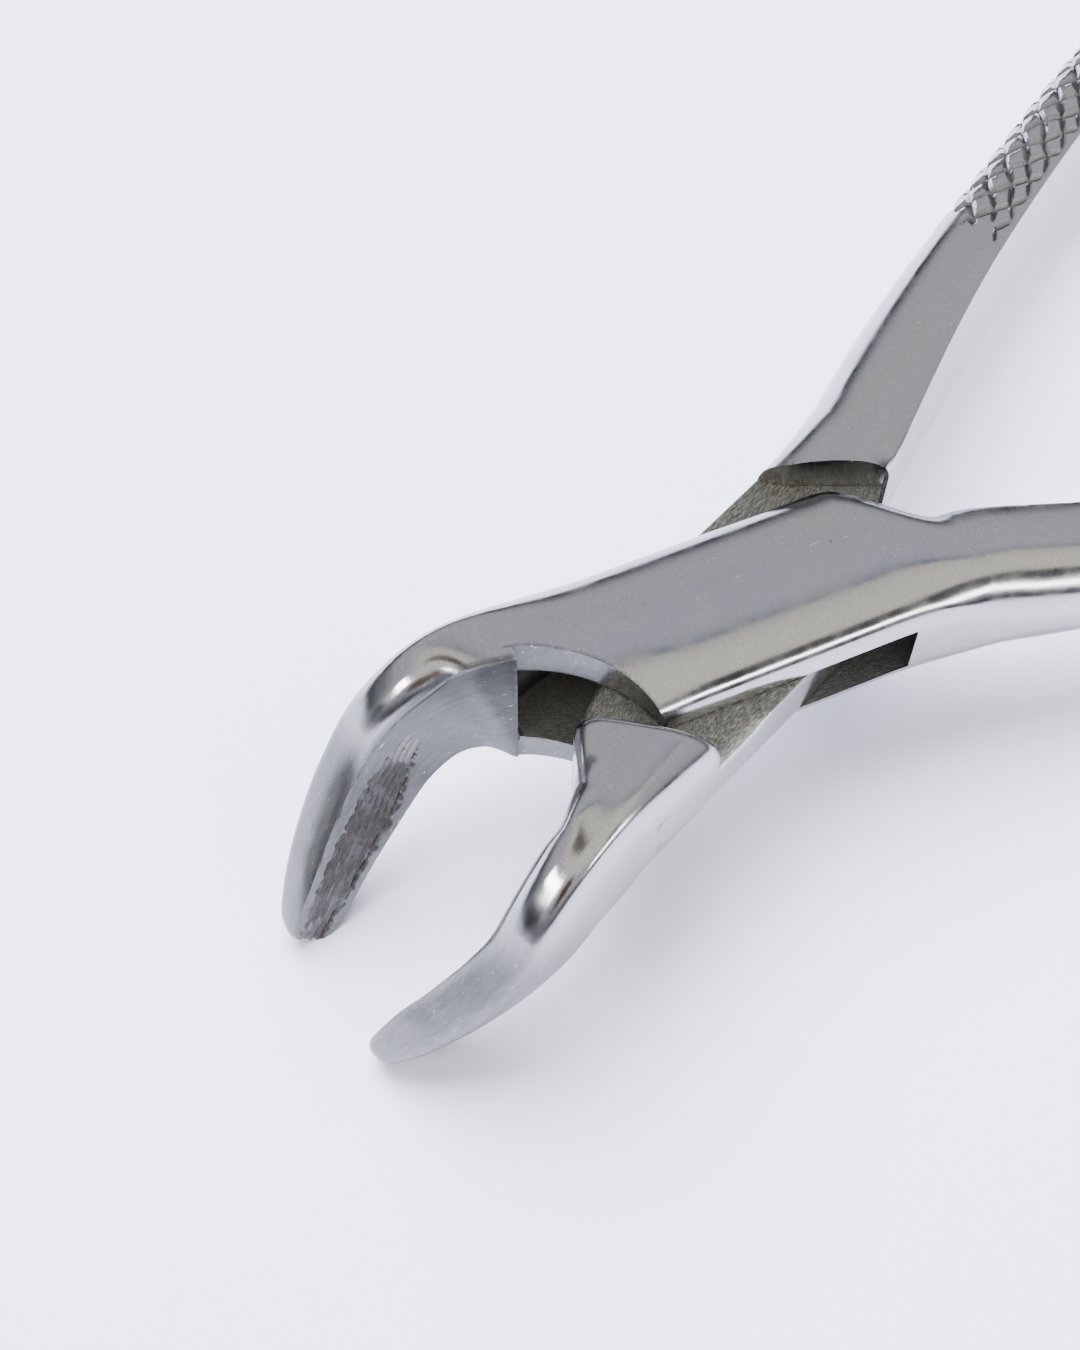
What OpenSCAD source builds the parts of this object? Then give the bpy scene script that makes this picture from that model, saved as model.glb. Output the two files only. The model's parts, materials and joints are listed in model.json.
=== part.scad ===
// Dental extraction forceps for lower teeth, with a box joint.
// The female half has a slot through it. The male half's flat tang passes through that slot,
// and one pin, pressed into the female half, lets the male half turn.
//
// Each half is drawn in its own frame, in millimetres: the pivot is the origin, +X runs towards
// the beak, +Z runs up the pivot, and +Y is the side that faces the other beak. The male half's
// frame is the mirror image of the female half's. place_half() puts a half where it lies.

/* [Joint] */
// Width of the box joint across its flat sides
joint_w = 13.9; // [13:0.1:15]
// Height of the box joint over its crowned top and bottom
joint_h = 11.6; // [11:0.1:12.6]
// Height of the slot through the female half
slot_h = 5; // [4.6:0.1:5.4]
// Gap between the tang and each wall of the slot
slide_gap = 0.1; // [0.05:0.01:0.15]
// Diameter of the pivot pin
pin_d = 6; // [5:0.1:7]
// Radial clearance of the pin in the male half
pin_play = 0.05; // [0.02:0.01:0.1]
// Angle from the middle plane to each half as the forceps lie, in degrees
half_angle = 12; // [11:0.5:14]

/* [Beaks] */
// Length of the straight stretch before a beak bends down, from the pivot
beak_start = 18.3; // [18:0.1:19]
// Radius of the upper bend of a beak's centre line
beak_bend_r = 11; // [10:0.5:12]
// Angle that a beak has turned down where the upper bend ends
beak_bend = 48; // [44:1:52]
// Radius of the long lower bend
beak_sweep_r = 128; // [120:4:140]
// Angle that the lower bend adds
beak_sweep = 8.5; // [8:0.1:9]

/* [Handles] */
// Length of each handle from the pivot
handle_l = 136; // [125:1:140]
// Height of the grip
grip_h = 8.2; // [7.6:0.1:9]
// Thickness of the grip, from its flat inner face to its round back
grip_t = 6.8; // [6:0.1:8]
// Radius of the long bow of a handle's inner face
bow_r = 260; // [240:5:290]
// Angle that the inner face leaves the joint at, in degrees
bow_start = 17; // [15.5:0.5:18]
// Lean of the grip's inner face from upright, in degrees
face_lean = 11; // [8:1:13]

/* [Hidden] */

steel = [0.74, 0.75, 0.78];
pin_steel = [0.66, 0.67, 0.7];
half_w = joint_w / 2;
tang_h = slot_h - 2 * slide_gap;
side_steps = 7;      // points on each quarter of a section
round_back = 0.996;  // how far a section's curve closes on a round side
box_side = 0.75;     // the same on the box joint's flat sides
flat_face = 0.25;    // the same on a handle's flat inner face
reach = 30;          // longer than any cut

// Corners and edges of the joint, in a half's own frame
shoulder_x = -17;    // where the handle's inner face starts
shoulder_y = -0.5;
box_front = 20.6;    // front end of the male half's joint block
root_x = 18.5;       // where the female half's plates end and its beak stands clear
root_lean = 4;       // lean of that step, in degrees
cut_past = 0.03;     // how far a cut runs past the face it ends at
cove_r = 11.8;       // hollow in front of the female half's plates
cove_top = [21.5, 9.3];
cove_bottom = [23.6, 11.4];
notch_x = -16.4;

function clamp01(t) = min(max(t, 0), 1);
function ease(t) = let (u = clamp01(t)) u * u * (3 - 2 * u);
// Goes smoothly from a at x = from to b at x = to
function between(a, b, from, to, x) = a + (b - a) * ease((x - from) / (to - from));

// --- One closed section, as [across, up] points ---
// The crown is highest at the middle. full says how far each side closes: near 1 it comes round
// to a point at mid height, and lower values leave an upright flat side.
function crown(k, full, power) = pow(1 - full * pow(k, power), 1 / power);
function side_points(mid, reach_y, height, full, power, lean, first) =
    [for (i = [first:side_steps])
        let (k = sin(90 * i / side_steps))
        let (z = height * crown(k, full, power))
        [mid + reach_y * k + lean * z * k, z]];
function reversed(list) = [for (i = [len(list) - 1:-1:0]) list[i]];
function below(list) = [for (p = list) [p[0], -p[1]]];
function section(mid, out, in, height, full_out, full_in, power, lean) =
    let (top_out = side_points(mid, out, height, full_out, power, 0, 0))
    let (top_in = side_points(mid, -in, height, full_in, power, lean, 1))
    let (low_out = below(side_points(mid, out, height, full_out, power, 0, 0)))
    let (low_in = below(side_points(mid, -in, height, full_in, power, -lean, 1)))
    concat(reversed(top_in), top_out, reversed(low_out), low_in);

// Skin over rings of equal length, closed at both ends
module loft(rings) {
    n = len(rings[0]);
    last = len(rings) - 1;
    sides = [for (r = [0:last - 1], i = [0:n - 1])
        let (j = (i + 1) % n)
        each [[r * n + i, r * n + j, (r + 1) * n + j], [r * n + i, (r + 1) * n + j, (r + 1) * n + i]]];
    start = [for (i = [1:n - 2]) [0, i + 1, i]];
    end = [for (i = [1:n - 2]) [last * n, last * n + i, last * n + i + 1]];
    polyhedron(points = [for (r = rings) each r], faces = concat(sides, start, end), convexity = 6);
}

// --- Handle and joint block: sections across X ---
bow_mid = shoulder_x - bow_r * sin(bow_start);
function bow_y(x) = shoulder_y - bow_r * cos(bow_start) + sqrt(bow_r * bow_r - pow(x - bow_mid, 2));
function face_y(x) = x > shoulder_x ? between(shoulder_y, -half_w, shoulder_x, -9, x) : bow_y(x);
function depth(x) = between(grip_t, 8.4, -55, -17, x);
function back_y(x) = x > -19 ? between(bow_y(-19) + depth(-19), half_w, -19, -9, x) : bow_y(x) + depth(x);
function height(x) = between(grip_h, joint_h, -38, -10, x) / 2;
end_round = 7;  // length of the rounded handle end
function end_scale(x) = let (t = (x + handle_l) / end_round) t > 1 ? 1 : sqrt(max(1 - pow(1 - t, 2), 0.04));
function handle_ring(x) =
    let (s = end_scale(x))
    let (middle = (face_y(x) + back_y(x)) / 2)
    let (face = middle + (face_y(x) - middle) * s)
    let (back = middle + (back_y(x) - middle) * s)
    let (box = ease((x + 20) / 10))
    let (mid = face + (back - face) * between(0.4, 0.5, -20, -9, x))
    let (lean = tan(face_lean) * ease((shoulder_x - x) / 23))
    [for (p = section(mid, back - mid, mid - face, height(x) * s,
            round_back + (box_side - round_back) * box, flat_face + (box_side - flat_face) * box,
            2.2 + 0.4 * box, lean))
        [x, p[0], p[1]]];
function stations(from, to, count) = [for (i = [0:count]) from + (to - from) * i / count];
end_stations = [for (i = [0:6]) -handle_l + end_round * (1 - cos(15 * i))];
body_stations = concat(end_stations, stations(-handle_l + end_round + 3, -42, 22), stations(-39, box_front, 20));

module half_body() {
    loft([for (x = body_stations) handle_ring(x)]);
}

// --- Beak: sections across its centre line, which bends down in the XZ plane ---
bend_l = beak_bend_r * beak_bend * PI / 180;
sweep_l = beak_sweep_r * beak_sweep * PI / 180;
beak_l = bend_l + sweep_l;
root_l = 8;  // length of beak inside the joint block
mid_z = 0.3;
function turn(s) = s < 0 ? 0 : s < bend_l ? s / beak_bend_r * 180 / PI
    : beak_bend + (s - bend_l) / beak_sweep_r * 180 / PI;
function bend_point(a, r, x, z, a0) = [x + r * (sin(a) - sin(a0)), z - r * (cos(a0) - cos(a))];
bend_end = bend_point(beak_bend, beak_bend_r, beak_start, mid_z, 0);
function beak_mid(s) = s < 0 ? [beak_start + s, mid_z]
    : s < bend_l ? bend_point(turn(s), beak_bend_r, beak_start, mid_z, 0)
    : bend_point(turn(s), beak_sweep_r, bend_end[0], bend_end[1], beak_bend);
// Sizes of a beak at distances along its centre line. The columns are: distance, height of the crest,
// height of the inner face's upper edge, depth below the centre line, then how far across the inner
// face's upper edge, its lower edge and the round back lie.
beak_sizes = [
    [-8, 5.8, 5.5, 5.8, -1.1, 0.9, -6.95],
    [0, 5.85, 5.6, 5.9, -1, 0.9, -6.95],
    [3, 5.85, 4.9, 6.2, -2, -0.2, -6.95],
    [6, 5.15, 3.6, 5.7, -2.1, -1.3, -6.95],
    [9, 4.4, 2.9, 4.8, -2.1, -1.6, -6.95],
    [12, 3.8, 2.5, 4, -1.9, -1.3, -6.7],
    [16, 3.3, 2.35, 3.45, -0.8, -0.2, -5.8],
    [20, 3, 2.2, 3.1, 0.6, 0.8, -4.3],
    [24, 2.65, 2.1, 2.8, 2.1, 1.9, -2.3],
    [beak_l, 1.9, 1.2, 1.8, 3.1, 3.1, 0.5]];
function size(s, column) = lookup(s, [for (row = beak_sizes) [row[0], row[column]]]);
crest_at = 0.58;  // place of the crest, from the inner face to the back
low_edge = 0.93;  // height of the inner face's lower edge over the depth below the crest
tip_round = 2;    // length of the rounded tip
function beak_ring(s) =
    let (c = beak_mid(s))
    let (a = turn(s))
    let (tip_t = max((s - beak_l + tip_round) / tip_round, 0))
    let (tip = sqrt(1 - 0.6 * tip_t * tip_t))
    let (crest = size(s, 1) * tip)
    let (low = size(s, 3) * tip)
    let (back = size(s, 6))
    let (mid = size(s, 4) + (back - size(s, 4)) * between(0.1, crest_at, -root_l, 3, s))
    let (full = between(box_side, round_back, -2, 8, s))
    let (power = between(2.6, 2.2, -2, 8, s))
    let (top_full = 1 - pow(size(s, 2) / size(s, 1), power))
    let (low_full = 1 - pow(low_edge, power))
    let (top_back = side_points(mid, back - mid, crest, full, power, 0, 1))
    let (top_face = side_points(mid, size(s, 4) - mid, crest, top_full, power, 0, 0))
    let (low_face = below(side_points(mid, size(s, 5) - mid, low, low_full, power, 0, 0)))
    let (low_back = below(side_points(mid, back - mid, low, full, power, 0, 1)))
    [for (p = concat(reversed(top_back), top_face, reversed(low_face), low_back))
        [c[0] + p[1] * sin(a), p[0], c[1] + p[1] * cos(a)]];
beak_stations = concat(stations(-root_l, 0, 3), stations(1.2, beak_l - tip_round, 22),
    [beak_l - 1.2, beak_l - 0.5, beak_l]);

module beak() {
    loft([for (s = beak_stations) beak_ring(s)]);
}

// --- How the whole tool lies: on its two beak tips and its two handle ends ---
all_points = concat([for (s = beak_stations) each beak_ring(s)], [for (x = body_stations) each handle_ring(x)]);
function turned(p) = [p[0] * cos(half_angle) + p[1] * sin(half_angle),
    -p[0] * sin(half_angle) + p[1] * cos(half_angle), p[2]];
function tipped(p, a) = [p[0] * cos(a) - p[2] * sin(a), p[1], p[0] * sin(a) + p[2] * cos(a)];
lying = [for (p = all_points) turned(p)];
function lowest(points, a) = min([for (p = points) tipped(p, a)[2]]);
front_points = [for (p = lying) if (p[0] > 20) p];
rear_points = [for (p = lying) if (p[0] < -100) p];
// Each pass tips the tool by the height that its front still lies below its rear
function level(a, passes) = passes == 0 ? a
    : level(a + atan((lowest(rear_points, a) - lowest(front_points, a)) / (handle_l + 35)), passes - 1);
tip_angle = level(6, 6);
lift = -lowest(lying, tip_angle);
xs = [for (p = lying) tipped(p, tip_angle)[0]];
shift = -(min(xs) + max(xs)) / 2;

module place() {
    translate([shift, 0, lift]) rotate([0, -tip_angle, 0]) children();
}
module place_half(is_male) {
    place() rotate(is_male ? half_angle : -half_angle) mirror([0, is_male ? 1 : 0, 0]) children();
}

// --- Cuts ---
module above(points, from, to) {
    translate([0, 0, from]) linear_extrude(to - from) polygon(points);
}
module cove() {
    translate([cove_top[0], cove_top[1], -slot_h / 2 - 0.01]) cylinder(h = reach, r = cove_r, $fn = 96);
    translate([cove_bottom[0], cove_bottom[1], -reach]) cylinder(h = 2 * reach, r = cove_r, $fn = 96);
}
// Everything behind the step where the female half's beak stands clear of its plates
module behind_root(past) {
    length = handle_l + root_x + 5;
    translate([root_x + past, 0, 0]) rotate([0, -root_lean, 0]) translate([-length, -reach, -reach])
        cube([length, 2 * reach, 2 * reach]);
}
// Back edge of the female half's plates, with the notch that takes the male half's shoulder
plate_back = [[-4, -7.1], [-9.2, -6.1], [-10.6, -4.9], [-12.1, -3.3], [-13.5, -1.7], [-14.7, -0.6], [-15.7, -0.2],
    [notch_x, -0.9], [notch_x, -12], [-4, -12]];
slot_outline = [[-10.6, 12], [-10.6, half_w], [notch_x, -0.9], [notch_x, -12], [3, -12], [3, -7],
    [17.8, -2.3], [22, -2.3], [22, 12]];
// The male half's tang lies between a rear shoulder and a front one
rear_shoulder = [[-8.8, 9], [-9.8, 6.3], [-10.7, 4.8], [-12.7, 2.6], [-15.6, -0.6], [-15.6, -12]];
front_shoulder = [[8, -12], [10.2, -half_w], [16.4, 2.8], [17.8, 9]];
low_shoulder = [[10.2, -12], [12.4, -half_w], [18.6, 0.5], [21, 3.5], [21, 9]];
tang_rear_side = [[-3.6, -12], [-3.6, -half_w], [-15.6, -0.6], [-17, -12]];
// The male half's front corner slopes away to the beak's inner face
tang_nose = [[3, 12], [3, half_w], [16.4, 2.8], [20.6, -1.6], [22, -1.6], [22, 12]];

module female_half() {
    color(steel) place_half(false) difference() {
        union() {
            intersection() {
                half_body();
                behind_root(0);
            }
            beak();
        }
        above(plate_back, -reach, reach);
        intersection() {
            behind_root(cut_past);
            union() {
                cove();
                above(slot_outline, -slot_h / 2, slot_h / 2);
            }
        }
        cylinder(h = reach, r = pin_d / 2, center = true, $fn = 64);
    }
}
module male_half() {
    color(steel) place_half(true) difference() {
        union() {
            difference() {
                half_body();
                above(tang_rear_side, -reach, reach);
                above(tang_nose, -reach, reach);
            }
            beak();
        }
        above(concat(rear_shoulder, front_shoulder), tang_h / 2, reach);
        above(concat(rear_shoulder, low_shoulder), -reach, -tang_h / 2);
        cylinder(h = reach, r = pin_d / 2 + pin_play, center = true, $fn = 64);
    }
}
module pivot_pin() {
    color(pin_steel) place_half(false) cylinder(h = joint_h - 0.4, r = pin_d / 2, center = true, $fn = 64);
}

female_half();
male_half();
pivot_pin();
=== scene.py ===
import json
import math
import bpy
import numpy as np
from mathutils import Matrix, Vector


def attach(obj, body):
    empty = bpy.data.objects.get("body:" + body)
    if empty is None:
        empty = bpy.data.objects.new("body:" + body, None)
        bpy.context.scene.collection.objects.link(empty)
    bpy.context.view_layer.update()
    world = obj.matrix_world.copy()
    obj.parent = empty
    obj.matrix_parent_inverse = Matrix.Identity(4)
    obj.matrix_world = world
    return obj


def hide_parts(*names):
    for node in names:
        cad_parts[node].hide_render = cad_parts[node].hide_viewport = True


# Dental extraction forceps. Each half is one mesh, made from a distance field that is meshed with
# its sharp edges kept. Lengths are in millimetres in a half's own frame until the last step:
# the pivot is the origin, +X runs to the beak, +Z runs up the pivot and +Y faces the other beak.

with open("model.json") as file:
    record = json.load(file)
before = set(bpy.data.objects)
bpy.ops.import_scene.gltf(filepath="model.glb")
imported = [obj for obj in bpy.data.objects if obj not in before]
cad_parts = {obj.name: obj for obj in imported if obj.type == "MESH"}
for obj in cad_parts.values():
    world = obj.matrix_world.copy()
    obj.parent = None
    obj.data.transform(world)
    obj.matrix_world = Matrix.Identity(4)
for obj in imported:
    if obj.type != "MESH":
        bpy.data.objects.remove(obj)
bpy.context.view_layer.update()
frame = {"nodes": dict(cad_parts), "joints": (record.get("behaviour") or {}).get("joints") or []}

# ---------------------------------------------------------------- sizes, as in the CAD model
HALF_ANGLE = math.radians(12)   # from the middle plane to each half, as the forceps lie
HALF_W = 6.95          # half width of the joint, over its flat sides
JOINT_H = 11.6         # height of the joint's crown
SLOT = 2.5             # half height of the slot
TANG = 2.4             # half height of the tang
BEAK_START = 18.3      # where a beak starts to bend down
BEND_R = 11.0          # its first bend
BEND = math.radians(48)
SWEEP_R = 128.0        # and its long second one
SWEEP = math.radians(8.5)
BEND_L = BEND_R * BEND
BEAK_L = BEND_L + SWEEP_R * SWEEP
BEAK_Z = 0.3           # height of a beak's middle line at its root
TIP_PAST = 0.2         # the rounded tip ends this far past the middle line
TIP_ROUND = 1.6
LOW_EDGE = 0.93        # height of the inner face's lower edge over the depth beside it
CUP = 0.25             # hollow of a beak's inner face
HANDLE_L = 136.0
GRIP_H = 8.2
GRIP_T = 6.8           # from the grip's flat inner face to its round back
NECK_T = 8.4           # the same where a handle meets the joint
BOW_R = 260.0          # long bow of a handle, and the angle that it leaves the joint at
BOW_START = math.radians(17)
FACE_LEAN = math.tan(math.radians(11))
END_ROUND = 7.0        # length of a handle's rounded end
KNURL_DEPTH = 0.26
KNURL_START = -40.5
KNURL_PITCH = (3.2, 1.9)        # of the diamonds, along and round a grip
KNURL_GROOVE = 0.36             # half width of a groove
GROOVE_PITCH = 0.56             # of the serrations
SHOULDER_X = -17.0     # where a handle's inner face meets the joint
SHOULDER_Y = -0.5
NOTCH_X = -16.4
NECK_X = -19.0         # where a handle's back starts to run into the joint's flat side
NECK_L = 10.0
COVE_R = 11.8          # hollow in front of the female half's plates
COVE_TOP = (21.5, 9.3)
COVE_BOTTOM = (23.6, 11.4)
ROOT_X = 18.1          # the step behind the female half's beak, at height ROOT_Z
ROOT_Z = 5.5
ROOT_LEAN = 0.8 / 11.5
SHARP = 0.03           # rounding of an edge that looks sharp
RIM = 0.04             # rounding of the hollow's rim


# ---------------------------------------------------------------- small helpers
def ease(t):
    t = np.clip(t, 0, 1)
    return t * t * (3 - 2 * t)


def between(a, b, lo, hi, x):
    return a + (b - a) * ease((x - lo) / (hi - lo))


def smax(a, b, k):
    """The larger of two fields, with the corner rounded over a width k."""
    h = np.maximum(k - np.abs(a - b), 0) / k
    return np.maximum(a, b) + h * h * k * 0.25


def bow_y(x):
    """Where a handle's inner face lies."""
    mid = SHOULDER_X - BOW_R * math.sin(BOW_START)
    return SHOULDER_Y - BOW_R * math.cos(BOW_START) + np.sqrt(BOW_R ** 2 - (x - mid) ** 2)


def thickness(x):
    """A handle's depth, from its inner face to its back."""
    return between(GRIP_T, NECK_T, -55, -17, x)


def curved(points, passes=2):
    """An open line with its corners cut, so that it reads as a curve."""
    for _ in range(passes):
        out = [points[0]]
        for a, b in zip(points[:-1], points[1:]):
            out.append((a[0] * 0.75 + b[0] * 0.25, a[1] * 0.75 + b[1] * 0.25))
            out.append((a[0] * 0.25 + b[0] * 0.75, a[1] * 0.25 + b[1] * 0.75))
        points = out + [points[-1]]
    return points


def polygon(x, y, points):
    """Signed distance to a closed outline, negative inside."""
    best = None
    inside = None
    for a, b in zip(points, points[1:] + points[:1]):
        ex = b[0] - a[0]
        ey = b[1] - a[1]
        px = x - a[0]
        py = y - a[1]
        t = np.clip((px * ex + py * ey) / (ex * ex + ey * ey), 0, 1)
        d = (px - ex * t) ** 2 + (py - ey * t) ** 2
        cross = (((a[1] <= y) & (b[1] > y) & (ex * py > ey * px))
                 | ((a[1] > y) & (b[1] <= y) & (ex * py < ey * px)))
        best = d if best is None else np.minimum(best, d)
        inside = cross if inside is None else inside ^ cross
    d = np.sqrt(best)
    return np.where(inside, -d, d)


# ---------------------------------------------------------------- the long shape of a half
# u is the distance along the half's middle line: X itself up to the beak, then round the bend.
def turn(s):
    return np.where(s < BEND_L, s / BEND_R, BEND + (s - BEND_L) / SWEEP_R)


def beak_point(s):
    a = turn(s)
    bend_a = np.minimum(a, BEND)
    x = BEAK_START + BEND_R * np.sin(bend_a)
    z = BEAK_Z - BEND_R * (1 - np.cos(bend_a))
    more = s > BEND_L
    x = np.where(more, x + SWEEP_R * (np.sin(a) - math.sin(BEND)), x)
    z = np.where(more, z - SWEEP_R * (math.cos(BEND) - np.cos(a)), z)
    return a, x, z


# A beak at distances along its middle line: the height of its crest, of its inner face's upper edge
# and of its lower edge, and where its inner face's two edges and its back lie across it
BEAK_S = (-12.0, -4.0, 0.0, 1.6, 3.1, 4.7, 6.7, 8.9, 11.9, 14.5, 17.2, 19.7, 22.4, 24.3, 26.4, 28.2)
CREST = (5.8, 5.75, 5.85, 5.95, 5.85, 5.55, 4.95, 4.4, 3.8, 3.45, 3.2, 3.0, 2.8, 2.6, 2.3, 1.9)
UPPER = (5.5, 5.5, 5.6, 5.6, 4.9, 4.1, 3.4, 2.95, 2.5, 2.4, 2.3, 2.2, 2.15, 2.05, 1.7, 1.2)
LOWER = (5.8, 5.8, 5.9, 6.1, 6.2, 6.0, 5.5, 4.8, 4.0, 3.6, 3.35, 3.15, 2.95, 2.75, 2.4, 1.8)
UPPER_Y = (
    -1.2, -1.1, -1.0, -1.45, -2.05, -2.1, -2.1, -2.1, -1.9, -1.3, -0.4, 0.5, 1.6, 2.2, 2.8, 3.1)
LOWER_Y = (0.9, 0.9, 0.9, 0.7, -0.2, -1.0, -1.45, -1.6, -1.3, -0.6, 0.1, 0.7, 1.4, 2.0, 2.6, 3.1)
BACK_Y = (
    -6.95, -6.95, -6.95, -6.95, -6.97, -7.0, -7.0, -6.95, -6.75, -6.2, -5.4, -4.4, -3.1, -2.1, -0.7, 0.5)


def smooth_table(xs, ys, fine):
    """The points (xs, ys) joined by a curve with no corners, read at fine."""
    xs = np.array(xs)
    ys = np.array(ys)
    slope = np.gradient(ys, xs)
    i = np.clip(np.searchsorted(xs, fine) - 1, 0, len(xs) - 2)
    h = xs[i + 1] - xs[i]
    t = np.clip((fine - xs[i]) / h, 0, 1)
    return ((1 + 2 * t) * (1 - t) ** 2 * ys[i] + t * (1 - t) ** 2 * h * slope[i]
            + t * t * (3 - 2 * t) * ys[i + 1] + t * t * (t - 1) * h * slope[i + 1])


BEAK_U = np.linspace(BEAK_START - 12, BEAK_START + BEAK_L, 500)
TABLES = {name: smooth_table(BEAK_S, values, BEAK_U - BEAK_START) for name, values in (
    ("crest", CREST), ("upper", UPPER), ("lower", LOWER), ("upper_y", UPPER_Y), ("lower_y", LOWER_Y),
    ("back_y", BACK_Y))}


def beak(name, u):
    return np.interp(u, BEAK_U, TABLES[name])


def face_at(u, w):
    """Where a beak's inner face lies across it, at u along and w up."""
    top = beak("upper", u)
    t = np.clip((top - w) / (top + beak("lower", u)), 0, 1)
    return beak("upper_y", u) * (1 - t) + beak("lower_y", u) * t


def outline(u):
    """Both sides, the height and how round each side is, at u."""
    depth = thickness(u)
    face = np.where(u > SHOULDER_X, between(SHOULDER_Y, -HALF_W, SHOULDER_X, -9, u),
                    bow_y(np.minimum(u, SHOULDER_X)))
    neck = bow_y(NECK_X) + thickness(NECK_X)
    leave = (neck - bow_y(NECK_X - 1) - thickness(NECK_X - 1)) * NECK_L
    t = np.clip((u - NECK_X) / NECK_L, 0, 1)
    join = between(neck, HALF_W, 0, 1, t) + leave * t * (1 - t) ** 2
    back = np.where(u > NECK_X, join, bow_y(np.minimum(u, NECK_X)) + depth)
    y_neg = np.where(u > 0, beak("back_y", u), face)
    y_pos = np.where(u > 0, between(HALF_W, 2.2, 17, 25, u), back)
    handle_mid = y_neg + (y_pos - y_neg) * between(0.4, 0.5, -20, -9, u)
    inner = beak("upper_y", u)
    mid = np.where(u > 0, between(0, inner + (y_neg - inner) * 0.58, 6, 21, u), handle_mid)
    grip = between(GRIP_H, JOINT_H, -38, -10, u) / 2
    height = np.where(u > 7, beak("crest", u), grip)
    depth_below = np.where(u > 7, beak("lower", u), grip)
    end = np.clip((u + HANDLE_L) / END_ROUND, 0, 1)
    scale = np.sqrt(np.maximum(1 - (1 - end) ** 2, 0.02))
    y_c = (y_neg + y_pos) / 2
    y_neg = np.where(u < 0, y_c + (y_neg - y_c) * scale, y_neg)
    y_pos = np.where(u < 0, y_c + (y_pos - y_c) * scale, y_pos)
    mid = np.where(u < 0, y_c + (mid - y_c) * scale, mid)
    flat = ease((u + 20) / 10)
    beaky = ease((u - 16) / 10)
    full_neg = 0.25 + 0.5 * flat + 0.246 * beaky
    power = 2.2 + 0.4 * flat + 0.3 * beaky
    flat_side = 0.996 - 0.246 * flat
    edge = 1 - (beak("upper", u) / beak("crest", u)) ** power
    full_pos = (flat_side + (edge - 0.75) * ease((u - 17) / 5),
                flat_side + (1 - LOW_EDGE ** power - 0.75) * ease((u - 17) / 5))
    return y_neg, y_pos, mid, (height * scale, depth_below * scale), full_neg, full_pos, power


def centre_y(u):
    y_neg, y_pos = outline(u)[:2]
    return (y_neg + y_pos) / 2


def place(u, v, w):
    """A point at u along, v across and w up, in the half's frame."""
    y = centre_y(u) + v
    if np.all(u <= BEAK_START):
        return u, y, w + between(0, BEAK_Z, 10, BEAK_START, u)
    s = np.maximum(u - BEAK_START, 0)
    a, cx, cz = beak_point(s)
    straight = u <= BEAK_START
    x = np.where(straight, u + 0 * w, cx + w * np.sin(a))
    z = np.where(straight, w + between(0, BEAK_Z, 10, BEAK_START, u), cz + w * np.cos(a))
    return x, y, z


def knurl(u, y, w, mid):
    """Depth of the diamond knurl on the round back of a grip."""
    around = 4.2 * np.arctan2(w, y - mid + 1.6)
    wobble = 0.12 * np.sin(u * 1.7) + 0.1 * np.sin(around * 2.3 + u * 0.6)
    start = KNURL_START + 0.9 * np.sin(around * 2.1) + 0.5 * np.sin(around * 5.3 + 1)
    live = ease((start - u) / 1.2) * ease((u + HANDLE_L - 12) / 2.0) * ease((y - mid + 1.9) / 0.7)
    depth = 0
    spacing = 1 / math.hypot(1 / KNURL_PITCH[0], 1 / KNURL_PITCH[1])
    for side in (1, -1):
        q = (u + wobble) / KNURL_PITCH[0] + side * around / KNURL_PITCH[1]
        gap = np.abs(q - np.round(q)) * spacing
        depth = np.maximum(depth, 1 - np.clip(gap / KNURL_GROOVE, 0, 1))
    return KNURL_DEPTH * depth * live


def serration(u, w):
    """Depth of the lengthwise grooves on a beak's inner face, and how far inside their patch."""
    s = u - BEAK_START
    mid = np.interp(s, [7, 11, 16, 24, BEAK_L], [0.6, -0.3, -0.6, -0.3, -0.2])
    half = np.interp(s, [7, 10, 14, 22, BEAK_L], [0.4, 1.3, 1.9, 1.9, 1.2])
    ragged = 0.12 * np.sin(s * 3.1) + 0.08 * np.sin(s * 7.7 + 1)
    patch = ease((half + ragged - np.abs(w - mid)) / 0.25) * ease((s - 7.4 - 0.7 * np.sin(w * 4)) / 1.5)
    groove = 0.5 + 0.5 * np.cos((w - mid + 0.05 * np.sin(s * 1.3)) * 2 * math.pi / GROOVE_PITCH)
    return (0.08 + 0.2 * groove) * patch, patch


def line(x, y, a, b):
    """Signed distance to the line from a to b, positive on its left."""
    dx = b[0] - a[0]
    dy = b[1] - a[1]
    return (dx * (y - a[1]) - dy * (x - a[0])) / math.hypot(dx, dy)


SLOPE_END = (20.6, -1.6)
PLATE_BACK = curved([(-4, -7.1), (-9.2, -6.1), (-10.6, -4.9), (-12.1, -3.3), (-13.5, -1.7), (-14.7, -0.6),
                     (-15.7, -0.25), (-16.1, -0.35)]) + [(NOTCH_X, -0.9), (NOTCH_X, -12), (-4, -12)]
SLOT_LINE = [(-10.6, 12), (-10.6, HALF_W), (NOTCH_X, -0.9), (NOTCH_X, -12), (3, -12), (3, -7),
             (17.8, -2.3), (18.2, -1.9), (18.2, 12)]
REAR_SHOULDER = [(-8.8, 9), (-9.8, 6.3), (-10.7, 4.8), (-12.7, 2.6), (-15.6, -0.6), (-15.6, -12)]
FRONT_SHOULDER = [(8, -12), (10.2, -HALF_W), (16.4, 2.8), (17.8, 9)]
LOW_SHOULDER = [(10.2, -12), (12.4, -HALF_W), (18.6, 0.5), (21, 3.5), (21, 9)]
TANG_REAR = [(-3.6, -12), (-3.6, -HALF_W), (-15.6, -0.6), (-17, -12)]


def cove(x, y, centre):
    """Distance outside the upright round hollow about centre."""
    return np.hypot(x - centre[0], y - centre[1]) - COVE_R


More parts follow.
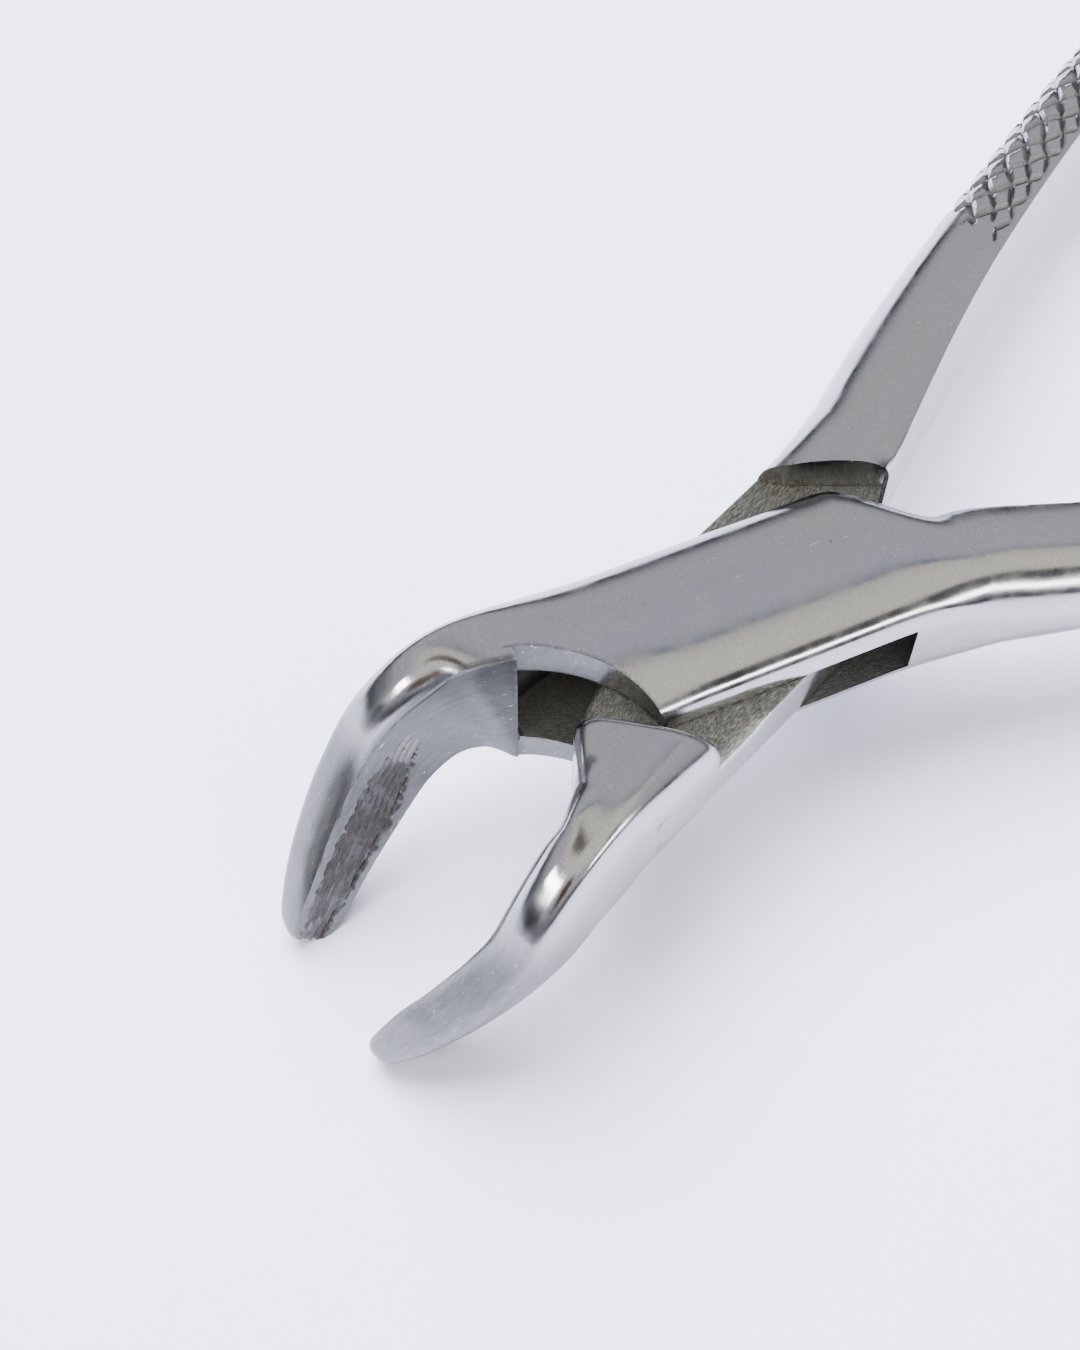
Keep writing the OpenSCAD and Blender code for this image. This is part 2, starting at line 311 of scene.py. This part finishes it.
def shape(u, v, w, male):
    """The half's field: negative inside the steel."""
    y_neg, y_pos, mid, height, full_neg, full_pos, power = outline(u)
    x, y, z = place(u, v, w)
    across = y - mid
    inner_face = face_at(u, w)
    reach = np.where(u > 0, between(HALF_W, inner_face, 17, 22, u), y_pos)
    k = np.where(across > 0, across / np.maximum(reach - mid, 0.2), -across / np.maximum(mid - y_neg, 0.2))
    full = np.where(across > 0, np.where(w > 0, full_pos[0], full_pos[1]), full_neg)
    height = np.where(w > 0, height[0], height[1])
    up = np.maximum(np.abs(w), 1e-3)
    part_w = (up / height) ** power
    part_y = full * np.maximum(k, 1e-4) ** power
    total = part_w + part_y
    root = total ** (1 / power)
    slope = root / total * np.sqrt((part_w / up) ** 2 + (part_y / np.maximum(np.abs(across), 1e-3)) ** 2)
    d = (root - 1) / np.maximum(slope, 0.05)
    lean = FACE_LEAN * ease((SHOULDER_X - u) / 23)
    roll = between(SHARP, 1.1, -20, -10, u)
    d = smax(d, y_neg + lean * w - y, roll)
    d = smax(d, y - np.where(u > 0, HALF_W, y_pos), roll)
    d = smax(d, -HANDLE_L - u, 0.5)
    d = smax(d, u - BEAK_START - BEAK_L - TIP_PAST, TIP_ROUND)
    if np.min(u) < -38:
        d = d + np.where(u < -38, knurl(u, y, w, mid), 0)
    if np.max(u) < -20:
        return d
    bite = y - inner_face
    if np.max(u) > BEAK_START:
        depth, _ = serration(u, w)
        s = u - BEAK_START
        cup = CUP * np.clip(1 - (w / np.maximum(beak("lower", u), 1)) ** 2, 0, 1) * ease((s - 3) / 5)
        bite = bite + (depth + cup) * (s > 2)
    if male:
        inner = np.minimum(smax(line(x, y, (3, HALF_W), (16.4, 2.8)),
                                line(x, y, (16.4, 2.8), SLOPE_END), 1.2), bite)
        d = smax(d, inner, 0.05 + 2.2 * ease((x - 10) / 5) * ease((z + 3) / 5) * ease((24 - u) / 5))
        top = polygon(x, y, REAR_SHOULDER + FRONT_SHOULDER)
        low = polygon(x, y, REAR_SHOULDER + LOW_SHOULDER)
        d = smax(d, -np.maximum(top, TANG - z), SHARP + 1.2 * ease((x - 5) / 3))
        d = smax(d, -np.maximum(low, TANG + z), SHARP)
        d = smax(d, -polygon(x, y, TANG_REAR), SHARP)
        return d
    root_x = ROOT_X + ROOT_LEAN * (ROOT_Z - z)
    d = smax(d, -np.maximum(root_x - x, -bite), RIM)
    d = smax(d, -np.maximum(np.maximum(cove(x, y, COVE_TOP), -SLOT - z), x - root_x), RIM)
    d = smax(d, -np.maximum(cove(x, y, COVE_BOTTOM), x - root_x), SHARP)
    d = smax(d, -polygon(x, y, PLATE_BACK), SHARP)
    slot = np.maximum(polygon(x, y, SLOT_LINE), np.abs(z) - SLOT)
    d = np.where(x < BEAK_START, smax(d, -slot, SHARP), d)
    return d


# ---------------------------------------------------------------- meshing with sharp edges kept
AXES = np.eye(3)


def spread(lo, hi, step):
    return np.linspace(lo, hi, int(round((hi - lo) / step)) + 1)


def dual_mesh(field, gu, gv, gw):
    """Dual contouring on a box grid: one vertex in each cell that the surface crosses."""
    grids = (gu, gv, gw)
    f = np.empty((len(gu), len(gv), len(gw)), dtype=np.float32)
    starts = list(range(0, len(gu), 24))
    for i in starts:
        part = gu[i:i + 24]
        cuts = np.searchsorted(part, BEAK_START, side="right")
        for a, b in ((0, cuts), (cuts, len(part))):
            if b > a:
                f[i + a:i + b] = field(part[a:b, None, None], gv[None, :, None], gw[None, None, :])
    shape_c = tuple(n - 1 for n in f.shape)
    total = shape_c[0] * shape_c[1] * shape_c[2]
    inside = f < 0
    points, normals, owners, quads = [], [], [], []
    for axis in range(3):
        lo = [slice(None)] * 3
        hi = [slice(None)] * 3
        lo[axis] = slice(0, -1)
        hi[axis] = slice(1, None)
        change = inside[tuple(lo)] != inside[tuple(hi)]
        for other in range(3):
            if other != axis:
                edge = [slice(None)] * 3
                edge[other] = slice(0, 1)
                change[tuple(edge)] = False
                edge[other] = slice(-1, None)
                change[tuple(edge)] = False
        idx = np.argwhere(change)
        f0 = f[tuple(idx.T)]
        nxt = idx + AXES[axis].astype(int)
        f1 = f[tuple(nxt.T)]
        a = np.stack([grids[k][idx[:, k]] for k in range(3)], 1)
        b = np.stack([grids[k][nxt[:, k]] for k in range(3)], 1)
        t0 = np.zeros(len(idx))
        t1 = np.ones(len(idx))
        for _ in range(4):
            t = t0 + (t1 - t0) * np.clip(f0 / (f0 - f1), 0.03, 0.97)
            p = a + (b - a) * t[:, None]
            ft = field(p[:, 0], p[:, 1], p[:, 2])
            same = (ft < 0) == (f0 < 0)
            t0 = np.where(same, t, t0)
            f0 = np.where(same, ft, f0)
            t1 = np.where(same, t1, t)
            f1 = np.where(same, f1, ft)
        t = t0 + (t1 - t0) * np.clip(f0 / (f0 - f1), 0, 1)
        p = a + (b - a) * t[:, None]
        points.append(p)
        normals.append(gradient(field, p))
        u_ax, v_ax = [k for k in range(3) if k != axis]
        step_u = np.zeros(3, int)
        step_v = np.zeros(3, int)
        step_u[u_ax] = 1
        step_v[v_ax] = 1
        around = [idx, idx - step_u, idx - step_u - step_v, idx - step_v]
        ids = np.stack([np.ravel_multi_index(tuple(c.T), shape_c) for c in around], 1)
        owners.append(ids)
        forward = inside[tuple(idx.T)]
        if axis == 1:
            forward = ~forward
        quads.append(np.where(forward[:, None], ids, ids[:, ::-1]))
    points = np.concatenate(points)
    normals = np.concatenate(normals)
    owners = np.concatenate(owners)
    quads = np.concatenate(quads)
    cells, local = np.unique(owners, return_inverse=True)
    local = local.reshape(owners.shape)
    n = len(cells)
    who = local.T.ravel()
    pts = np.tile(points, (4, 1))
    nrm = np.tile(normals, (4, 1))
    count = np.bincount(who, minlength=n)
    mean = np.stack([np.bincount(who, pts[:, k], n) for k in range(3)], 1) / count[:, None]
    rel = np.sum(nrm * (pts - mean[who]), 1)
    ata = np.empty((n, 3, 3))
    for i in range(3):
        for j in range(3):
            ata[:, i, j] = np.bincount(who, nrm[:, i] * nrm[:, j], n)
    atb = np.stack([np.bincount(who, nrm[:, k] * rel, n) for k in range(3)], 1)
    soft = 0.03
    move = np.linalg.solve(ata + soft * np.eye(3), atb[:, :, None])[:, :, 0]
    verts = mean + move
    where = np.stack(np.unravel_index(cells, shape_c), 1)
    low = np.stack([grids[k][where[:, k]] for k in range(3)], 1)
    high = np.stack([grids[k][where[:, k] + 1] for k in range(3)], 1)
    slack = 0.15 * (high - low)
    verts = np.clip(verts, low - slack, high + slack)
    # Where the normals agree the surface is smooth, so the vertex is moved onto it exactly
    agree = np.linalg.norm(np.stack([np.bincount(who, nrm[:, k], n) for k in range(3)], 1), axis=1) / count
    smooth = agree > 0.97
    for _ in range(2):
        p = verts[smooth]
        g = gradient(field, p, unit=False)
        value = field(p[:, 0], p[:, 1], p[:, 2])
        verts[smooth] = p - g * (value / np.maximum(np.sum(g * g, 1), 0.05))[:, None]
    return verts, np.searchsorted(cells, quads)


def gradient(field, p, unit=True):
    eps = 0.012
    base = [(1, 1, 1), (1, -1, -1), (-1, 1, -1), (-1, -1, 1)]
    g = np.zeros_like(p)
    for b in base:
        q = p + eps * np.array(b)
        g += field(q[:, 0], q[:, 1], q[:, 2])[:, None] * np.array(b)
    g /= 4 * eps
    if unit:
        g /= np.maximum(np.linalg.norm(g, axis=1), 1e-9)[:, None]
    return g


joint = frame["joints"][0]
pivot = np.array(joint["pos_m"], dtype=float)
tip_angle = math.atan2(-joint["axis"][0], joint["axis"][2])


def to_row(p):
    """From the pivot's frame, in millimetres, to the row frame, in metres."""
    c, s = math.cos(tip_angle), math.sin(tip_angle)
    x, y, z = p[..., 0], p[..., 1], p[..., 2]
    return np.stack([x * c - z * s, y, x * s + z * c], -1) / 1000 + pivot


def half_to_pivot(x, y, z, male):
    c, s = math.cos(HALF_ANGLE), math.sin(HALF_ANGLE)
    if male:
        return np.stack([x * c + y * s, x * s - y * c, z], -1)
    return np.stack([x * c + y * s, -x * s + y * c, z], -1)


GRID_U = np.unique(np.concatenate([
    spread(-HANDLE_L - 0.6, -44, 0.35), spread(-44, -18, 0.28), spread(-18, BEAK_START + BEAK_L + 0.8, 0.2)]))
GRID_V = spread(-8.2, 8.2, 0.2)
GRID_W = spread(-6.5, 6.5, 0.2)
SHARP_ANGLE = math.radians(32)


def make_half(name, male):
    def field(u, v, w):
        return shape(u, v, w, male)

    verts, quads = dual_mesh(field, GRID_U, GRID_V, GRID_W)
    u, v, w = verts.T
    x, y, z = place(u, v, w)
    co = to_row(half_to_pivot(x, y, z, male))
    if male:
        quads = quads[:, ::-1]
    mesh = bpy.data.meshes.new(name)
    mesh.vertices.add(len(co))
    mesh.vertices.foreach_set("co", co.astype(np.float32).ravel())
    mesh.loops.add(quads.size)
    mesh.loops.foreach_set("vertex_index", quads.astype(np.int32).ravel())
    mesh.polygons.add(len(quads))
    mesh.polygons.foreach_set("loop_start", np.arange(0, quads.size, 4, dtype=np.int32))
    mesh.polygons.foreach_set("loop_total", np.full(len(quads), 4, dtype=np.int32))
    mesh.update(calc_edges=True)
    mesh.validate()
    mesh.shade_smooth()
    mesh.set_sharp_from_angle(angle=SHARP_ANGLE)
    y_neg, y_pos, mid, (height, _) = outline(u)[:4]
    across = np.arctan2(w / np.maximum(height, 0.5), (y - mid) / np.maximum((y_pos - y_neg) / 2, 0.5))
    flow = np.stack([u, across * 6, y], -1)
    layer = mesh.attributes.new("flow", "FLOAT_VECTOR", "POINT")
    layer.data.foreach_set("vector", flow.astype(np.float32).ravel())
    _, patch = serration(u, w)
    patch = patch * (u > BEAK_START + 3) * ease(1.2 - np.abs(y - face_at(u, w)) * 1.5)
    if male:
        rough = ((np.abs(z) < TANG + 0.06) & (x > -16) & (x < 18) & (np.abs(y) < HALF_W - 0.15)).astype(float)
    else:
        rough = ((np.abs(z) < SLOT + 0.05) & (x > -16.6) & (x < BEAK_START)
                 & (np.abs(y) < HALF_W - 0.15)).astype(float)
    # Painted shade: darker in the knurl's grooves and, on the female half, inside the slot
    recess_shade = ease(knurl(u, y, w, mid) / KNURL_DEPTH) * 0.75
    # Painted shade on the beaks' inner faces, their lower parts and the hollows' walls; the same mask also
    # makes these faces a little rougher
    satin_and_shade = ease(1.5 - np.abs(y - face_at(u, w)) * 2.5) * ease((u - 18) / 0.5)
    satin_and_shade = np.maximum(satin_and_shade, 0.9 * ease((u - BEAK_START - 6) / 7))
    if not male:
        for hollow in (COVE_TOP, COVE_BOTTOM):
            satin_and_shade = np.maximum(satin_and_shade, ((np.abs(cove(x, y, hollow)) < 0.06) & (x < 18.6)) * 0.8)
        recess_shade = np.maximum(recess_shade, rough * 0.7)
    for label, values in (("grooved", patch), ("rough", rough), ("recess_shade", recess_shade), ("satin_and_shade", satin_and_shade)):
        layer = mesh.attributes.new(label, "FLOAT", "POINT")
        layer.data.foreach_set("value", np.asarray(values, dtype=np.float32))
    obj = bpy.data.objects.new(name, mesh)
    bpy.context.scene.collection.objects.link(obj)
    return obj


# ---------------------------------------------------------------- camera
CAMERA_MM = (56.09, 53.16, 124.05)
LOOK_MM = (14.96, -5.46, 0.0)
CAMERA_ROLL = math.radians(-0.514)
cam_pos = Vector(to_row(np.array(CAMERA_MM)))
look = Vector(to_row(np.array(LOOK_MM)))
up = Vector((-math.sin(tip_angle), 0, math.cos(tip_angle)))
forward = (look - cam_pos).normalized()
right = forward.cross(up).normalized()
cam_up = right.cross(forward)
turned_right = right * math.cos(CAMERA_ROLL) + cam_up * math.sin(CAMERA_ROLL)
turned_up = cam_up * math.cos(CAMERA_ROLL) - right * math.sin(CAMERA_ROLL)
camera_data = bpy.data.cameras.new("camera")
camera_data.lens = 51.5
camera_data.sensor_width = 36
camera_data.clip_start = 0.005
camera = bpy.data.objects.new("camera", camera_data)
camera.matrix_world = Matrix((
    (turned_right.x, turned_up.x, -forward.x, cam_pos.x),
    (turned_right.y, turned_up.y, -forward.y, cam_pos.y),
    (turned_right.z, turned_up.z, -forward.z, cam_pos.z),
    (0, 0, 0, 1)))
bpy.context.scene.collection.objects.link(camera)
bpy.context.scene.camera = camera


# ---------------------------------------------------------------- materials
STEEL_LIGHT = (0.44, 0.44, 0.45)
STEEL_DARK = (0.33, 0.33, 0.345)
WARM = (0.43, 0.42, 0.385, 1.0)
PAINTED_SHADE = (0.12, 0.12, 0.123, 1.0)       # painted shade: darkens the beaks' inner faces, their lower parts and the walls of the female's hollows
PIT = (0.12, 0.1, 0.09, 1.0)
SCRATCH = (0.62, 0.62, 0.63, 1.0)
# Painted shade in the knurl's grooves and inside the female half's slot
PAINTED_RECESS_SHADE = (0.12, 0.12, 0.12, 1.0)
FILED = ((0.3, (0.07, 0.07, 0.06)), (0.5, (0.2, 0.2, 0.18)), (0.7, (0.5, 0.5, 0.46)))
SERRATED = ((0.3, (0.05, 0.047, 0.045)), (0.7, (0.2, 0.19, 0.18)))


def new_material(name):
    mat = bpy.data.materials.new(name)
    mat.use_nodes = True
    tree = mat.node_tree
    return mat, tree, tree.nodes["Principled BSDF"]


def node(tree, kind, **values):
    n = tree.nodes.new(kind)
    for key, value in values.items():
        if key in n.inputs:
            n.inputs[key].default_value = value
        else:
            setattr(n, key, value)
    return n


def ramp(tree, source, stops):
    """A colour ramp fed by source: (place, colour) pairs."""
    n = node(tree, "ShaderNodeValToRGB")
    while len(n.color_ramp.elements) < len(stops):
        n.color_ramp.elements.new(0.5)
    for element, (at, colour) in zip(n.color_ramp.elements, stops):
        element.position = at
        element.color = (*colour, 1)
    tree.links.new(source, n.inputs["Fac"])
    return n.outputs["Color"]


def remap(tree, source, a, b, to_a, to_b):
    n = node(tree, "ShaderNodeMapRange")
    for name, value in (("From Min", a), ("From Max", b), ("To Min", to_a), ("To Max", to_b)):
        n.inputs[name].default_value = value
    tree.links.new(source, n.inputs["Value"])
    return n.outputs["Result"]


def blend(tree, factor, a, b, kind="RGBA"):
    """a where factor is 0 and b where it is 1."""
    n = node(tree, "ShaderNodeMix", data_type=kind)
    first = 6 if kind == "RGBA" else 2
    tree.links.new(factor, n.inputs[0])
    for slot, value in ((first, a), (first + 1, b)):
        if isinstance(value, (tuple, float)):
            n.inputs[slot].default_value = value
        else:
            tree.links.new(value, n.inputs[slot])
    return n.outputs[2 if kind == "RGBA" else 0]


def stretched(tree, vector, scale, turned=(0, 0, 0)):
    n = node(tree, "ShaderNodeMapping")
    n.inputs["Scale"].default_value = scale
    n.inputs["Rotation"].default_value = turned
    tree.links.new(vector, n.inputs["Vector"])
    return n.outputs["Vector"]


def noise(tree, vector, scale, detail=4.0, roughness=0.6, distortion=0.0):
    n = node(tree, "ShaderNodeTexNoise", Scale=scale, Detail=detail, Roughness=roughness,
             Distortion=distortion)
    tree.links.new(vector, n.inputs["Vector"])
    return n.outputs["Fac"]


def attribute(tree, name, output="Fac"):
    return node(tree, "ShaderNodeAttribute", attribute_name=name).outputs[output]


def steel_material(name, shade=1.0):
    """Polished steel: fine brush marks across it, a few scratches and pits, rough where it was filed, and
    painted shade on the beaks' inner faces, their lower parts, the hollows' walls, the knurl's grooves and
    inside the slot.
    """
    mat, tree, bsdf = new_material(name)
    link = tree.links.new
    bsdf.inputs["Metallic"].default_value = 1.0
    flow = attribute(tree, "flow", "Vector")
    brush = noise(tree, stretched(tree, flow, (9, 0.6, 0.6)), 1.6, 6.0, 0.7)
    cloud = noise(tree, flow, 0.35, 3.0)
    scratch = noise(tree, stretched(tree, flow, (0.7, 5, 5), (0, 0, 0.5)), 1.3, 2.0, 0.5, 0.4)
    scratch = remap(tree, scratch, 0.70, 0.74, 0.0, 1.0)
    pit = remap(tree, noise(tree, flow, 2.6, 1.0), 0.80, 0.83, 0.0, 1.0)
    filed = noise(tree, stretched(tree, flow, (1.4, 5.5, 5.5), (0, 0, 0.6)), 1.5, 5.0, 0.65, 0.5)
    grooved = attribute(tree, "grooved")
    rough = attribute(tree, "rough")
    recess_shade = attribute(tree, "recess_shade")
    satin_and_shade = attribute(tree, "satin_and_shade")

    light = tuple(shade * v for v in STEEL_LIGHT) + (1.0,)
    dark = tuple(shade * v for v in STEEL_DARK) + (1.0,)
    colour = blend(tree, remap(tree, brush, 0.3, 0.7, 0.0, 1.0), dark, light)
    colour = blend(tree, remap(tree, cloud, 0.4, 0.75, 0.0, 0.35), colour, WARM)
    shade_patchiness = remap(tree, noise(tree, stretched(tree, flow, (0.35, 2, 2)), 0.9), 0.3, 0.7, 0.8, 1.0)
    # Painted shade, in patches, darkens the beaks' inner faces, their lower parts and the hollows' walls
    painted_shade_mask = node(tree, "ShaderNodeMath", operation="MULTIPLY")
    link(satin_and_shade, painted_shade_mask.inputs[0])
    link(shade_patchiness, painted_shade_mask.inputs[1])
    colour = blend(tree, painted_shade_mask.outputs["Value"], colour, PAINTED_SHADE)
    colour = blend(tree, pit, colour, PIT)
    colour = blend(tree, scratch, colour, SCRATCH)
    colour = blend(tree, rough, colour, ramp(tree, filed, FILED))
    colour = blend(tree, grooved, colour, ramp(tree, filed, SERRATED))
    # Painted shade in the knurl's grooves and inside the slot
    colour = blend(tree, recess_shade, colour, PAINTED_RECESS_SHADE)
    link(colour, bsdf.inputs["Base Color"])

    gloss = remap(tree, cloud, 0.3, 0.7, 0.10, 0.24)
    gloss = blend(tree, satin_and_shade, gloss, 0.3, "FLOAT")
    gloss = blend(tree, rough, gloss, 0.42, "FLOAT")
    gloss = blend(tree, grooved, gloss, 0.5, "FLOAT")
    link(gloss, bsdf.inputs["Roughness"])

    fine = node(tree, "ShaderNodeBump", Strength=0.12, Distance=0.00002)
    link(brush, fine.inputs["Height"])
    coarse = node(tree, "ShaderNodeBump", Distance=0.0001)
    link(filed, coarse.inputs["Height"])
    link(remap(tree, rough, 0.0, 1.0, 0.0, 0.7), coarse.inputs["Strength"])
    link(fine.outputs["Normal"], coarse.inputs["Normal"])
    link(coarse.outputs["Normal"], bsdf.inputs["Normal"])
    return mat


half_steel = steel_material("half_steel")
for body, is_male in (("female", False), ("male", True)):
    piece = make_half(body + "_half_steel", is_male)
    piece.data.materials.append(half_steel)
    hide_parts(body + "_half")
    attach(piece, body)
pin = frame["nodes"]["pivot_pin"]
pin.data.materials.clear()
pin_steel = steel_material("pin_steel", 0.92)
pin.data.materials.append(pin_steel)

# ---------------------------------------------------------------- floor, light
floor_mesh = bpy.data.meshes.new("floor")
F = 3.0
floor_mesh.from_pydata([(-F, -F, 0), (F, -F, 0), (F, F, 0), (-F, F, 0)], [], [(0, 1, 2, 3)])
floor = bpy.data.objects.new("floor", floor_mesh)
bpy.context.scene.collection.objects.link(floor)
floor_mat, floor_tree, floor_bsdf = new_material("floor_pale")
floor_bsdf.inputs["Base Color"].default_value = (0.79, 0.81, 0.97, 1)
floor_bsdf.inputs["Roughness"].default_value = 0.6
floor_mesh.materials.append(floor_mat)


def area(name, pos, aim, size, power, colour):
    data = bpy.data.lights.new(name, "AREA")
    data.shape = "RECTANGLE"
    data.size, data.size_y = size
    data.energy = power
    data.color = colour
    obj = bpy.data.objects.new(name, data)
    obj.location = pos
    obj.rotation_mode = "QUATERNION"
    obj.rotation_quaternion = (Vector(aim) - Vector(pos)).to_track_quat("-Z", "Y")
    obj.visible_camera = False
    bpy.context.scene.collection.objects.link(obj)
    return obj


key = area("key", (-0.15, -0.35, 0.8), (0.04, 0, 0), (0.8, 0.8), 44.0, (0.97, 0.97, 1.0))
key.visible_glossy = False


def from_pivot(direction, distance):
    """A place in that direction from the joint, given in the pivot's frame."""
    d = Vector(direction).normalized() * distance
    return (pivot[0] + d.x, pivot[1] + d.y, pivot[2] + d.z)


CENTRE = tuple(pivot)
area("softbox", from_pivot((0.874, -0.162, 0.454), 0.6), CENTRE, (0.2, 0.1), 1.6, (1, 1, 1))
area("window", from_pivot((-0.2, 0.9, 0.38), 0.7), CENTRE, (0.5, 0.1), 2.6, (1, 0.99, 0.97))

world = bpy.data.worlds.new("studio")
world.use_nodes = True
tree = world.node_tree
direction = node(tree, "ShaderNodeTexCoord").outputs["Generated"]
height_of = node(tree, "ShaderNodeSeparateXYZ")
tree.links.new(direction, height_of.inputs["Vector"])
SKY = ((0.0, (0.03, 0.03, 0.035)), (0.1, (0.06, 0.06, 0.07)), (0.22, (0.3, 0.3, 0.33)),
       (0.35, (0.62, 0.62, 0.66)), (0.6, (0.7, 0.7, 0.74)), (1.0, (0.72, 0.71, 0.7)))
colour = ramp(tree, height_of.outputs["Z"], SKY)
# Overhead, a thin dark seam parts a cool far side of the ceiling from a warm near side
aside = node(tree, "ShaderNodeVectorMath", operation="DOT_PRODUCT")
aside.inputs[1].default_value = (-0.577, -0.816, 0.0)
tree.links.new(direction, aside.inputs[0])
ceiling = ramp(tree, aside.outputs["Value"], (
    (0.0, (1.1, 1.05, 0.94)), (0.26, (0.95, 0.92, 0.84)), (0.31, (0.12, 0.17, 0.28)),
    (0.36, (0.62, 0.62, 0.7)), (0.5, (0.7, 0.7, 0.8)), (0.8, (0.6, 0.6, 0.66))))
colour = blend(tree, remap(tree, height_of.outputs["Z"], 0.6, 0.75, 0.0, 1.0), colour, ceiling)
# Soft patches of the room that the polished steel mirrors: direction, inner and outer angle, colour
ROOM = (((0.97, -0.18, 0.15), 9, 11, (0.015, 0.018, 0.018)),
        ((0.97, -0.3, 0.02), 5, 6, (0.06, 0.17, 0.15)),
        ((0.75, 0.35, 0.5), 9, 14, (0.14, 0.075, 0.055)),
        ((-0.25, 0.75, 0.62), 8, 12, (0.08, 0.08, 0.085)),
        ((0.45, -0.25, 0.86), 6, 10, (0.1, 0.09, 0.09)))
for toward, inner, outer, paint in ROOM:
    toward = Vector(toward).normalized()
    dot = node(tree, "ShaderNodeVectorMath", operation="DOT_PRODUCT")
    dot.inputs[1].default_value = toward
    tree.links.new(direction, dot.inputs[0])
    edge = node(tree, "ShaderNodeMapRange", interpolation_type="SMOOTHSTEP")
    edge.inputs["From Min"].default_value = math.cos(math.radians(outer))
    edge.inputs["From Max"].default_value = math.cos(math.radians(inner))
    tree.links.new(dot.outputs["Value"], edge.inputs["Value"])
    colour = blend(tree, edge.outputs["Result"], colour, (*paint, 1.0))
background = tree.nodes["Background"]
tree.links.new(colour, background.inputs["Color"])
background.inputs["Strength"].default_value = 1.35
bpy.context.scene.world = world
